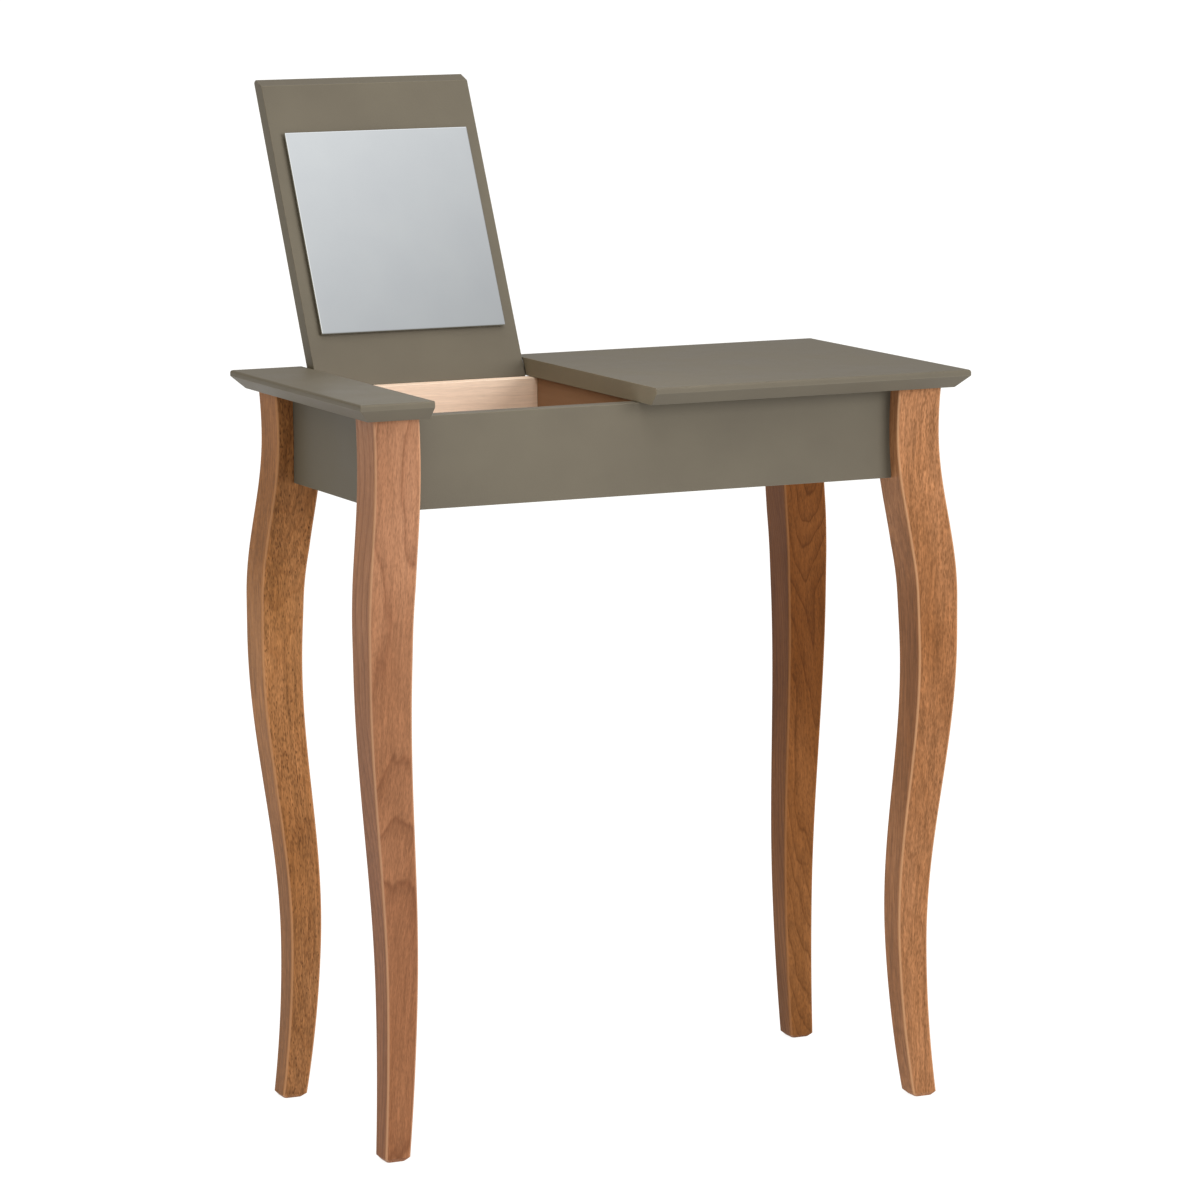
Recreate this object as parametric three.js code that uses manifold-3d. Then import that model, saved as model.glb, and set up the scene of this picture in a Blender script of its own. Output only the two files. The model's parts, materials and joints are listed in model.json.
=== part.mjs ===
// Dressing table on four S-curved beech legs. Its painted top is in three parts: a narrow
// fixed panel, a hinged lid with a mirror under it, and a wide fixed panel. The lid covers
// a shallow wooden compartment and is shown open, resting on the back apron.
// Millimetres, +X to the sitter's right, +Y to the back, +Z up, floor at z = 0.

import * as THREE from 'three';
import { mergeVertices } from 'three/addons/utils/BufferGeometryUtils.js';
import Module from 'manifold-3d';

const wasm = await Module();
wasm.setup();

// ---------------------------------------------------------------- driving dimensions

// overall
const tableWidth = 650;
const tableDepth = 350;
const tableHeight = 740;
const gap = 0.3; // left between pieces that touch

// top boards, with a lip and a bevel under it on every outer edge
const boardThickness = 18;
const lipHeight = 6;
const bevelWidth = 12;
const lipRound = 2.5;
const cutArris = 1; // rounding of the square edges beside the lid
const leftPanelWidth = 76;
const lidOpening = 230;
const lidSideGap = 1.5;

// lid pivots, at mid thickness near the back edge
const pivotSetback = 26;
const openAngle = 116; // degrees from closed to the stop
const pinRadius = 3;
const pinDepth = 20; // in the lid, and in the panel
const bushRadius = 4.5;
const washerRadius = 8;
const washerThickness = 0.9;

// mirror under the lid
const mirrorSideMargin = 13.5;
const mirrorEndMargin = 54; // to the arrises of the lid's two bevels
const glassThickness = 4;
const glassArris = 1;
const tapeWidth = 15;
const tapeThickness = 1;
const tapeInset = 12;

// legs, given as distances in from the edge of the top
const legTopWidth = 47.5;
const legFootWidth = 26.5;
const footInset = 23.5;
const ankleInset = 31;
const kneeInset = 9;
const shoulderInset = 23;
const topFlare = 1.5; // outwards again above the shoulder
const ankleRise = 0.22; // heights on the leg, as parts of its length
const kneeRise = 0.66;
const kneeTopRise = 0.71;
const shoulderRise = 0.94;
const taperRise = 0.78; // where the width stops growing
const legArris = 2.5;
const footChamfer = 4;
const legSteps = 44;

// aprons
const apronHeight = 90;
const apronThickness = 18;
const apronInset = 40;

// compartment
const wallThickness = 9;
const wallSetback = 3; // right wall stands back under the right panel
const floorThickness = 6;
const floorRise = 18; // from the aprons' lower edges to the floor's underside
const battenSize = 12;

// joinery
const dowelRadius = 4;
const dowelLength = 40;
const dowelEdge = 20; // from the apron's top and bottom to its dowels
const dowelStagger = 12; // side aprons' dowels sit lower than the front's and back's
const cleatWidth = 16;
const cleatHeight = 18;
const cleatEndSpace = 20;
const screwRadius = 2;
const screwHeadRadius = 4;
const screwRim = 0.4;
const screwLength = 30;
const screwEndSpace = 30;

// ---------------------------------------------------------------- derived places

const halfWidth = tableWidth / 2;
const halfDepth = tableDepth / 2;
const topUnderside = tableHeight - boardThickness;
const frameTop = topUnderside - gap; // aprons, legs and walls stop here
const apronBottom = frameTop - apronHeight;

const openingLeft = -halfWidth + leftPanelWidth;
const openingRight = openingLeft + lidOpening;
const lidLeft = openingLeft + lidSideGap;
const lidRight = openingRight - lidSideGap;

const pivotY = halfDepth - pivotSetback;
const pivotZ = tableHeight - boardThickness / 2;
const openTurn = THREE.MathUtils.degToRad(openAngle);

// The open lid leans on the back apron with the lower arris of its back bevel.
const arrisBehindPivot = pivotSetback - bevelWidth;
const arrisBelowPivot = boardThickness / 2;
const stopReach = -arrisBehindPivot * Math.cos(openTurn) + arrisBelowPivot * Math.sin(openTurn);
const backApronOuter = pivotY - stopReach - gap;
const backApronInner = backApronOuter - apronThickness;
const frontApronOuter = -halfDepth + apronInset;
const frontApronInner = frontApronOuter + apronThickness;
const sideApronOuter = halfWidth - apronInset;
const sideApronInner = sideApronOuter - apronThickness;

// ---------------------------------------------------------------- materials

const paint = standardMaterial(0x857e71, 0.5);
const stainedBeech = standardMaterial(0xb07448, 0.5);
const paleWood = standardMaterial(0xd6b695, 0.6);
const plywood = standardMaterial(0xc9a57f, 0.65);
const mirrorGlass = standardMaterial(0xc4c8cb, 0.04, 1);
const plainSteel = standardMaterial(0xb9b9b6, 0.3, 1);
const nylon = standardMaterial(0xe9e6dd, 0.5);
const foamTape = standardMaterial(0xf2f1ec, 0.9);

function standardMaterial(color, roughness, metalness = 0) {
  return new THREE.MeshStandardMaterial({ color, roughness, metalness });
}

// ---------------------------------------------------------------- solids

const xAxis = new THREE.Vector3(1, 0, 0);
const yAxis = new THREE.Vector3(0, 1, 0);
const zAxis = new THREE.Vector3(0, 0, 1);

function solidOf(geometry) {
  const bare = geometry.clone();
  bare.deleteAttribute('normal');
  bare.deleteAttribute('uv');
  const merged = mergeVertices(bare, 1e-4);
  return new wasm.Manifold(new wasm.Mesh({
    numProp: 3,
    vertProperties: new Float32Array(merged.attributes.position.array),
    triVerts: new Uint32Array(merged.index.array),
  }));
}

function geometryOf(solid) {
  const mesh = solid.getMesh();
  const geometry = new THREE.BufferGeometry();
  geometry.setAttribute('position', new THREE.BufferAttribute(mesh.vertProperties, 3));
  geometry.setIndex(new THREE.BufferAttribute(mesh.triVerts, 1));
  const faceted = geometry.toNonIndexed();
  faceted.computeVertexNormals();
  return faceted;
}

// A block between three pairs of limits.
function block([x0, x1], [y0, y1], [z0, z1]) {
  const geometry = new THREE.BoxGeometry(x1 - x0, y1 - y0, z1 - z0);
  geometry.translate((x0 + x1) / 2, (y0 + y1) / 2, (z0 + z1) / 2);
  return solidOf(geometry);
}

// An upright outline whose first coordinate runs along `across` and whose second is
// height, made as thick as `reach` to both sides of the origin.
function uprightSlab(outline, across, reach) {
  const geometry = new THREE.ExtrudeGeometry(outline, {
    depth: 2 * reach,
    bevelEnabled: false,
    curveSegments: 4,
  });
  geometry.translate(0, 0, -reach);
  const through = new THREE.Vector3().crossVectors(across, zAxis);
  geometry.applyMatrix4(new THREE.Matrix4().makeBasis(across, zAxis, through));
  return solidOf(geometry);
}

// A turned piece: `profile` lists [radius, distance along the axis], starting at `start`.
function turned(profile, start, axis, sides = 16) {
  const points = profile.map(([radius, along]) => new THREE.Vector2(radius, along));
  const geometry = new THREE.LatheGeometry(points, sides);
  const turn = new THREE.Quaternion().setFromUnitVectors(yAxis, axis);
  geometry.applyQuaternion(turn);
  geometry.translate(start.x, start.y, start.z);
  return solidOf(geometry);
}

function rod(radius, length, start, axis, sides) {
  return turned([[0, 0], [radius, 0], [radius, length], [0, length]], start, axis, sides);
}

function ring(outer, inner, length, start, axis) {
  const profile = [[inner, 0], [outer, 0], [outer, length], [inner, length], [inner, 0]];
  return turned(profile, start, axis);
}

// ---------------------------------------------------------------- assembly groups

const table = new THREE.Group();
const lidAssembly = new THREE.Group();
lidAssembly.position.set(0, pivotY, pivotZ);
lidAssembly.rotation.x = -openTurn;
table.add(lidAssembly);

function addPart(parent, name, solid, material) {
  const mesh = new THREE.Mesh(geometryOf(solid), material);
  mesh.name = name;
  parent.add(mesh);
  return mesh;
}

// ---------------------------------------------------------------- top boards

// Section of a board from `start` to `end`, lying on height `bottom`. A moulded end has
// the lip with its rounded top arris and the bevel; a square end is only eased.
function boardOutline(start, end, bottom, mouldedStart, mouldedEnd) {
  const top = bottom + boardThickness;
  const outline = new THREE.Shape();
  if (mouldedStart) {
    outline.moveTo(start + bevelWidth, bottom);
  } else {
    outline.moveTo(start + cutArris, bottom);
  }
  if (mouldedEnd) {
    outline.lineTo(end - bevelWidth, bottom);
    outline.lineTo(end, top - lipHeight);
    outline.lineTo(end, top - lipRound);
    outline.absarc(end - lipRound, top - lipRound, lipRound, 0, Math.PI / 2, false);
  } else {
    outline.lineTo(end - cutArris, bottom);
    outline.absarc(end - cutArris, bottom + cutArris, cutArris, -Math.PI / 2, 0, false);
    outline.absarc(end - cutArris, top - cutArris, cutArris, 0, Math.PI / 2, false);
  }
  if (mouldedStart) {
    outline.absarc(start + lipRound, top - lipRound, lipRound, Math.PI / 2, Math.PI, false);
    outline.lineTo(start, top - lipHeight);
  } else {
    outline.absarc(start + cutArris, top - cutArris, cutArris, Math.PI / 2, Math.PI, false);
    outline.absarc(start + cutArris, bottom + cutArris, cutArris, Math.PI, 1.5 * Math.PI, false);
  }
  outline.closePath();
  return outline;
}

function fixedPanel(side) {
  const left = side < 0 ? -halfWidth : openingRight;
  const right = side < 0 ? openingLeft : halfWidth;
  const cutEdge = side < 0 ? openingLeft : openingRight;
  const across = boardOutline(left, right, topUnderside, side < 0, side > 0);
  const along = boardOutline(-halfDepth, halfDepth, topUnderside, true, true);
  const inward = new THREE.Vector3(side, 0, 0);
  const socket = rod(
    bushRadius + gap,
    pinDepth + 2 * gap,
    new THREE.Vector3(cutEdge - side * gap, pivotY, pivotZ),
    inward,
    16,
  );
  let panel = uprightSlab(across, xAxis, tableDepth).intersect(uprightSlab(along, yAxis, tableWidth));
  panel = panel.subtract(socket);
  for (const screw of panelScrews.filter((one) => one.side === side)) {
    panel = panel.subtract(screwHole(screw));
  }
  return panel;
}

// The lid is drawn closed, about its pivot line.
function lidBoard() {
  const bottom = -boardThickness / 2;
  const front = -tableDepth + pivotSetback;
  const across = boardOutline(lidLeft, lidRight, bottom, false, false);
  const along = boardOutline(front, pivotSetback, bottom, true, true);
  let board = uprightSlab(across, xAxis, 2 * tableDepth).intersect(uprightSlab(along, yAxis, tableWidth));
  for (const [edge, side] of [[lidLeft, 1], [lidRight, -1]]) {
    const mouth = new THREE.Vector3(edge - side * gap, 0, 0);
    const inward = new THREE.Vector3(side, 0, 0);
    board = board.subtract(rod(pinRadius + gap, pinDepth + 2 * gap, mouth, inward, 16));
  }
  return board;
}

// ---------------------------------------------------------------- mirror

const lidMiddle = (lidLeft + lidRight) / 2;
const mirrorWidth = lidRight - lidLeft - 2 * mirrorSideMargin;
const mirrorLength = tableDepth - 2 * bevelWidth - 2 * mirrorEndMargin;
const mirrorCentreY = pivotSetback - halfDepth;
const mirrorBack = -boardThickness / 2 - tapeThickness - 2 * gap;

function mirrorPane() {
  const halfPaneWidth = mirrorWidth / 2 - glassArris;
  const halfPaneLength = mirrorLength / 2 - glassArris;
  const outline = new THREE.Shape();
  outline.moveTo(-halfPaneWidth, -halfPaneLength);
  outline.lineTo(halfPaneWidth, -halfPaneLength);
  outline.lineTo(halfPaneWidth, halfPaneLength);
  outline.lineTo(-halfPaneWidth, halfPaneLength);
  outline.closePath();
  const geometry = new THREE.ExtrudeGeometry(outline, {
    depth: glassThickness - 2 * glassArris,
    bevelThickness: glassArris,
    bevelSize: glassArris,
    bevelSegments: 1,
  });
  geometry.translate(lidMiddle, mirrorCentreY, mirrorBack - glassThickness + glassArris);
  return solidOf(geometry);
}

function mirrorTape(side) {
  const centre = lidMiddle + side * (mirrorWidth / 2 - tapeInset - tapeWidth / 2);
  const reach = mirrorLength / 2 - tapeInset;
  return block(
    [centre - tapeWidth / 2, centre + tapeWidth / 2],
    [mirrorCentreY - reach, mirrorCentreY + reach],
    [mirrorBack + gap, mirrorBack + gap + tapeThickness],
  );
}

// ---------------------------------------------------------------- legs

// Distance from the edge of the top to the leg's outer face, at a height on the leg:
// a flared foot, an ankle drawn in, a knee thrown out and an upright shoulder.
const legLength = frameTop;

function eased(from, to, share) {
  return from + (to - from) * (1 - Math.cos(Math.PI * share)) / 2;
}

function outerInset(height) {
  const rise = height / legLength;
  if (rise < ankleRise) {
    return ankleInset - (ankleInset - footInset) * (1 - rise / ankleRise) ** 2;
  }
  if (rise < kneeRise) {
    return eased(ankleInset, kneeInset, (rise - ankleRise) / (kneeRise - ankleRise));
  }
  if (rise < kneeTopRise) {
    return kneeInset;
  }
  if (rise < shoulderRise) {
    return eased(kneeInset, shoulderInset, (rise - kneeTopRise) / (shoulderRise - kneeTopRise));
  }
  return shoulderInset - topFlare * ((rise - shoulderRise) / (1 - shoulderRise)) ** 2;
}

function legWidth(height) {
  const share = Math.min(1, height / legLength / taperRise);
  return legFootWidth + (legTopWidth - legFootWidth) * share;
}

function innerInset(height) {
  return outerInset(height) + legWidth(height);
}

// Outline of the leg between two curves, cut in by the chamfer under the foot.
function legOutline(outer, inner, chamfer) {
  const heights = [];
  for (let step = 0; step <= legSteps; step += 1) {
    heights.push(footChamfer + (legLength - footChamfer) * step / legSteps);
  }
  const points = [new THREE.Vector2(outer(0) + chamfer, 0)];
  heights.forEach((height) => points.push(new THREE.Vector2(outer(height), height)));
  heights.reverse().forEach((height) => points.push(new THREE.Vector2(inner(height), height)));
  points.push(new THREE.Vector2(inner(0) - chamfer, 0));
  return new THREE.Shape(points);
}

// One leg in the corner of two edges of the top, sawn to the same curve from both sides
// and then eased on its four arrises by curves sawn on the diagonals.
function cornerLeg() {
  const faceOutline = legOutline(outerInset, innerInset, footChamfer);
  const diagonal = Math.SQRT2;
  const easing = legArris / diagonal;
  const cornerOutline = legOutline(
    (height) => outerInset(height) * diagonal + easing,
    (height) => innerInset(height) * diagonal - easing,
    footChamfer,
  );
  const flankOutline = legOutline(
    (height) => -legWidth(height) / diagonal + easing,
    (height) => legWidth(height) / diagonal - easing,
    footChamfer,
  );
  const alongDiagonal = new THREE.Vector3(1, 1, 0).normalize();
  const acrossDiagonal = new THREE.Vector3(1, -1, 0).normalize();
  const reach = 3 * (shoulderInset + legTopWidth);
  let leg = uprightSlab(faceOutline, xAxis, reach);
  leg = leg.intersect(uprightSlab(faceOutline, yAxis, reach));
  leg = leg.intersect(uprightSlab(cornerOutline, alongDiagonal, reach));
  return leg.intersect(uprightSlab(flankOutline, acrossDiagonal, reach));
}

const legCorners = [
  { name: 'front_left', sideX: -1, sideY: -1, quarterTurns: 0 },
  { name: 'front_right', sideX: 1, sideY: -1, quarterTurns: 1 },
  { name: 'back_right', sideX: 1, sideY: 1, quarterTurns: 2 },
  { name: 'back_left', sideX: -1, sideY: 1, quarterTurns: 3 },
];

// A leg in its place, housed for the ends of its two aprons and bored for their dowels.
function placedLeg(corner) {
  const turn = new THREE.Matrix4().makeRotationZ(corner.quarterTurns * Math.PI / 2);
  turn.setPosition(corner.sideX * halfWidth, corner.sideY * halfDepth, 0);
  let leg = cornerLeg().transform(turn.elements);
  for (const apron of aprons) {
    leg = leg.subtract(block(grown(apron.x), grown(apron.y), [apronBottom - gap, frameTop + gap]));
  }
  for (const dowel of dowels) {
    leg = leg.subtract(dowelHole(dowel));
  }
  return leg;
}

function grown([low, high]) {
  return [low - gap, high + gap];
}

// ---------------------------------------------------------------- aprons and dowels

// Aprons end where the leg's inner face stands at the apron's lower edge.
const apronEndX = halfWidth - innerInset(apronBottom) - gap;
const apronEndY = halfDepth - innerInset(apronBottom) - gap;

const aprons = [
  { name: 'front', x: [-apronEndX, apronEndX], y: [frontApronOuter, frontApronInner], wood: paint },
  { name: 'back', x: [-apronEndX, apronEndX], y: [backApronInner, backApronOuter], wood: paleWood },
  { name: 'left', x: [-sideApronOuter, -sideApronInner], y: [-apronEndY, apronEndY], wood: paint },
  { name: 'right', x: [sideApronInner, sideApronOuter], y: [-apronEndY, apronEndY], wood: paint },
];

const dowels = [];
for (const apron of aprons) {
  const lengthwise = apron.name === 'front' || apron.name === 'back';
  const raise = lengthwise ? dowelStagger : 0;
  const heights = {
    lower: apronBottom + dowelEdge + raise,
    upper: frameTop - dowelEdge - dowelStagger + raise,
  };
  for (const [level, height] of Object.entries(heights)) {
    for (const end of [-1, 1]) {
      const reach = lengthwise ? apronEndX : apronEndY;
      const middle = lengthwise ? (apron.y[0] + apron.y[1]) / 2 : (apron.x[0] + apron.x[1]) / 2;
      const start = end * reach - dowelLength / 2;
      dowels.push({
        name: `dowel_${apron.name}_${dowelEndName(lengthwise, end)}_${level}`,
        start: new THREE.Vector3(lengthwise ? start : middle, lengthwise ? middle : start, height),
        axis: lengthwise ? xAxis : yAxis,
      });
    }
  }
}

function dowelEndName(lengthwise, end) {
  if (lengthwise) {
    return end < 0 ? 'left' : 'right';
  }
  return end < 0 ? 'front' : 'back';
}

function dowelPin(dowel) {
  const tip = dowelRadius / 4;
  const profile = [
    [0, 0],
    [dowelRadius - tip, 0],
    [dowelRadius, tip],
    [dowelRadius, dowelLength - tip],
    [dowelRadius - tip, dowelLength],
    [0, dowelLength],
  ];
  return turned(profile, dowel.start, dowel.axis, 12);
}

function dowelHole(dowel) {
  const start = dowel.start.clone().addScaledVector(dowel.axis, -gap);
  return rod(dowelRadius + gap, dowelLength + 2 * gap, start, dowel.axis, 12);
}

function apronBoard(apron) {
  let board = block(apron.x, apron.y, [apronBottom, frameTop]);
  for (const dowel of dowels) {
    board = board.subtract(dowelHole(dowel));
  }
  return board;
}

// ---------------------------------------------------------------- compartment

const leftWallOuter = -halfWidth + shoulderInset + legTopWidth + gap; // beside the legs
const leftWallInner = leftWallOuter + wallThickness;
const rightWallInner = openingRight + wallSetback;
const rightWallOuter = rightWallInner + wallThickness;
const floorBottom = apronBottom + floorRise;
const floorTop = floorBottom + floorThickness;
const wallSpan = [frontApronInner + gap, backApronInner - gap];

function compartmentWall(inner, outer) {
  return block([inner, outer], wallSpan, [floorBottom - battenSize, frameTop]);
}

function compartmentFloor() {
  return block([leftWallInner + gap, rightWallInner - gap], wallSpan, [floorBottom, floorTop]);
}

function floorBatten(from, to) {
  const z = [floorBottom - gap - battenSize, floorBottom - gap];
  return block([leftWallInner + gap, rightWallInner - gap], [from, to], z);
}

// ---------------------------------------------------------------- cleats and screws

const cleats = [
  { name: 'left', side: -1, x: [-sideApronInner + gap, leftWallOuter - gap] },
  { name: 'middle', side: 1, x: [rightWallOuter + gap, rightWallOuter + gap + cleatWidth] },
  { name: 'right', side: 1, x: [sideApronInner - gap - cleatWidth, sideApronInner - gap] },
];
const cleatSpan = [-apronEndY + cleatEndSpace, apronEndY - cleatEndSpace];

const screwPlaces = [
  { end: 'front', y: cleatSpan[0] + screwEndSpace },
  { end: 'back', y: cleatSpan[1] - screwEndSpace },
];
const panelScrews = [];
for (const cleat of cleats) {
  for (const { end, y } of screwPlaces) {
    panelScrews.push({
      name: `panel_screw_${cleat.name}_${end}`,
      side: cleat.side,
      start: new THREE.Vector3((cleat.x[0] + cleat.x[1]) / 2, y, frameTop - cleatHeight),
    });
  }
}

// Countersunk screw with its head in the underside of a cleat, pointing up, or the hole
// for it where `clearance` is more than nothing.
function screwProfile(clearance) {
  const coneHeight = screwHeadRadius - screwRadius;
  const pointHeight = 2 * screwRadius;
  return [
    [0, -clearance],
    [screwHeadRadius + clearance, -clearance],
    [screwHeadRadius + clearance, screwRim + clearance / 2],
    [screwRadius + clearance, screwRim + coneHeight + clearance / 2],
    [screwRadius + clearance, screwLength - pointHeight],
    [0, screwLength + clearance],
  ];
}

function panelScrew(screw) {
  return turned(screwProfile(0), screw.start, zAxis, 12);
}

function screwHole(screw) {
  return turned(screwProfile(gap), screw.start, zAxis, 12);
}

function cleatBar(cleat) {
  let bar = block(cleat.x, cleatSpan, [frameTop - cleatHeight, frameTop]);
  for (const screw of panelScrews) {
    bar = bar.subtract(screwHole(screw));
  }
  return bar;
}

// ---------------------------------------------------------------- pivots

const pivots = [
  { name: 'left', edge: lidLeft, cutEdge: openingLeft, outward: -1 },
  { name: 'right', edge: lidRight, cutEdge: openingRight, outward: 1 },
];

function pivotPin(pivot) {
  const start = new THREE.Vector3(pivot.edge - pivot.outward * pinDepth, 0, 0);
  const length = 2 * pinDepth + lidSideGap;
  return rod(pinRadius, length, start, new THREE.Vector3(pivot.outward, 0, 0), 16);
}

function pivotBush(pivot) {
  const start = new THREE.Vector3(pivot.cutEdge, pivotY, pivotZ);
  return ring(bushRadius, pinRadius + gap, pinDepth, start, new THREE.Vector3(pivot.outward, 0, 0));
}

function pivotWasher(pivot) {
  const start = new THREE.Vector3(pivot.cutEdge - pivot.outward * gap, pivotY, pivotZ);
  const inward = new THREE.Vector3(-pivot.outward, 0, 0);
  return ring(washerRadius, pinRadius + gap, washerThickness, start, inward);
}

// ---------------------------------------------------------------- build

for (const corner of legCorners) {
  addPart(table, `leg_${corner.name}`, placedLeg(corner), stainedBeech);
}
for (const apron of aprons) {
  addPart(table, `apron_${apron.name}`, apronBoard(apron), apron.wood);
}
for (const dowel of dowels) {
  addPart(table, dowel.name, dowelPin(dowel), paleWood);
}

addPart(table, 'top_panel_left', fixedPanel(-1), paint);
addPart(table, 'top_panel_right', fixedPanel(1), paint);

addPart(table, 'compartment_wall_left', compartmentWall(leftWallOuter, leftWallInner), plywood);
addPart(table, 'compartment_wall_right', compartmentWall(rightWallInner, rightWallOuter), plywood);
addPart(table, 'compartment_floor', compartmentFloor(), plywood);
addPart(table, 'floor_batten_front', floorBatten(wallSpan[0], wallSpan[0] + battenSize), paleWood);
addPart(table, 'floor_batten_back', floorBatten(wallSpan[1] - battenSize, wallSpan[1]), paleWood);

for (const cleat of cleats) {
  addPart(table, `cleat_${cleat.name}`, cleatBar(cleat), paleWood);
}
for (const screw of panelScrews) {
  addPart(table, screw.name, panelScrew(screw), plainSteel);
}

addPart(lidAssembly, 'lid', lidBoard(), paint);
addPart(lidAssembly, 'mirror', mirrorPane(), mirrorGlass);
addPart(lidAssembly, 'mirror_tape_left', mirrorTape(-1), foamTape);
addPart(lidAssembly, 'mirror_tape_right', mirrorTape(1), foamTape);
for (const pivot of pivots) {
  addPart(lidAssembly, `pivot_pin_${pivot.name}`, pivotPin(pivot), plainSteel);
  addPart(table, `pivot_bush_${pivot.name}`, pivotBush(pivot), nylon);
  addPart(table, `pivot_washer_${pivot.name}`, pivotWasher(pivot), plainSteel);
}

// The origin is on the floor, midway between the front of the top and the back of the
// open lid.
table.updateMatrixWorld(true);
const extent = new THREE.Box3().setFromObject(table, true);
table.position.y = -(extent.min.y + extent.max.y) / 2;

export default table;
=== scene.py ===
import json
import math

import bmesh
import bpy
from mathutils import Matrix, Vector


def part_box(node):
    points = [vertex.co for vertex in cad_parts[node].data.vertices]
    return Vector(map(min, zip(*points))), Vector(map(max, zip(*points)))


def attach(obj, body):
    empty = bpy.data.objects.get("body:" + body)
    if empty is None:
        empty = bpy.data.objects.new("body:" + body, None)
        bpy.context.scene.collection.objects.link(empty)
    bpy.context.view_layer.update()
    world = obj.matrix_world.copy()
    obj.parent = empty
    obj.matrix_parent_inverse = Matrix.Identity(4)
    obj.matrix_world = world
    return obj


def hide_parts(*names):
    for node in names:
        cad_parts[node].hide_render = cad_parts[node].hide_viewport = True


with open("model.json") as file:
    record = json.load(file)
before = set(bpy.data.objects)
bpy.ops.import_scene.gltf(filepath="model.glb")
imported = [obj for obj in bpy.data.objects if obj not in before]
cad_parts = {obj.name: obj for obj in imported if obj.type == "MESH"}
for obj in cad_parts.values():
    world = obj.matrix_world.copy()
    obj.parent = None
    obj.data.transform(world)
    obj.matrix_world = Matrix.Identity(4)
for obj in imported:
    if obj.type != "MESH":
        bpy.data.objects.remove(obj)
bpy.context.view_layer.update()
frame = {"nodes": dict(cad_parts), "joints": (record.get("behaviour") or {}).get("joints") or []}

# A dressing table in painted MDF on four sawn beech legs, its lid open on a frameless
# mirror. Metres, +X right, +Y back, +Z up, the same frame as the CAD model.

MM = 0.001

# ---------------------------------------------------------------- sizes repeated from the CAD

BEVEL_WIDTH = 12 * MM
LIP_ROUND = 2.5 * MM
GAP = 0.3 * MM
LEG_TOP_WIDTH = 47.5 * MM
LEG_FOOT_WIDTH = 26.5 * MM
FOOT_INSET = 23.5 * MM
ANKLE_INSET = 31 * MM
KNEE_INSET = 9 * MM
SHOULDER_INSET = 23 * MM
TOP_FLARE = 1.5 * MM
ANKLE_RISE = 0.22
KNEE_RISE = 0.66
KNEE_TOP_RISE = 0.71
SHOULDER_RISE = 0.94
TAPER_RISE = 0.78
LEG_ARRIS = 2.5 * MM
FOOT_CHAMFER = 4 * MM
GLASS_ARRIS = 1 * MM
SCREW_SHANK_RADIUS = 2 * MM
SCREW_HEAD_RADIUS = 4 * MM
SCREW_RIM = 0.4 * MM

LEG_STATIONS = 90
FOOT_RIM_ROUND = 0.7 * MM
BOARD_ARRIS = 0.6 * MM
SAWN_ARRIS = 0.8 * MM
SCREW_SLOT_REACH = 2.3 * MM
SCREW_SLOT_HALF_WIDTH = 0.45 * MM
SCREW_SLOT_DEPTH = 1.3 * MM
PIN_CHAMFER = 0.5 * MM
RING_CHAMFER = 0.2 * MM
PITH_HEIGHT = 400 * MM
SMOOTH_UP_TO = math.radians(40)
# Places closer than this are the same place.
TOUCHING = 1e-6

# ---------------------------------------------------------------- places taken from the CAD

hinge = Vector(frame["joints"][0]["pos_m"])
open_turn = math.radians(frame["joints"][0]["range_deg"][1])
closing = (
    Matrix.Translation(hinge)
    @ Matrix.Rotation(open_turn, 4, "X")
    @ Matrix.Translation(-hinge)
)
opening = closing.inverted()

top_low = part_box("top_panel_left")[0]
top_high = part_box("top_panel_right")[1]
leg_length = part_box("leg_front_left")[1].z


def closed_box(node):
    """The box of a node on the lid once the lid is turned down level."""
    points = [closing @ v.co for v in frame["nodes"][node].data.vertices]
    low = Vector(min(p[i] for p in points) for i in range(3))
    high = Vector(max(p[i] for p in points) for i in range(3))
    return low, high


# ---------------------------------------------------------------- materials


def linear(colour):
    """An sRGB hex colour as linear red, green, blue and alpha."""
    shares = [int(colour[i : i + 2], 16) / 255 for i in (1, 3, 5)]
    return [
        *(s / 12.92 if s <= 0.04045 else ((s + 0.055) / 1.055) ** 2.4 for s in shares),
        1,
    ]


def add_node(tree, kind, inputs=None, stops=None, **settings):
    """Adds a node; an input is a number, a colour or another node's output socket."""
    node = tree.nodes.new(kind)
    for key, value in settings.items():
        setattr(node, key, value)
    for key, value in (inputs or {}).items():
        if isinstance(value, bpy.types.NodeSocket):
            tree.links.new(value, node.inputs[key])
        else:
            node.inputs[key].default_value = value
    if stops:
        ramp = node.color_ramp
        while len(ramp.elements) < len(stops):
            ramp.elements.new(0.5)
        for element, (place, value) in zip(ramp.elements, stops):
            element.position = place
            element.color = linear(value) if isinstance(value, str) else (value,) * 3 + (1,)
    return node


def new_material(name, surface):
    """A Principled material whose uniform settings stand on the shader's own sockets."""
    made = bpy.data.materials.new(name)
    made.use_nodes = True
    tree = made.node_tree
    tree.nodes.clear()
    shader = add_node(tree, "ShaderNodeBsdfPrincipled", surface)
    add_node(tree, "ShaderNodeOutputMaterial", {"Surface": shader.outputs["BSDF"]})
    return made, tree, shader


PAINT_DARK = "#5D574C"
PAINT_LIGHT = "#625C50"
# The arris tone: a little wear and a painted highlight.
PAINT_RUBBED_AND_HIGHLIT = "#6A6457"


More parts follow.
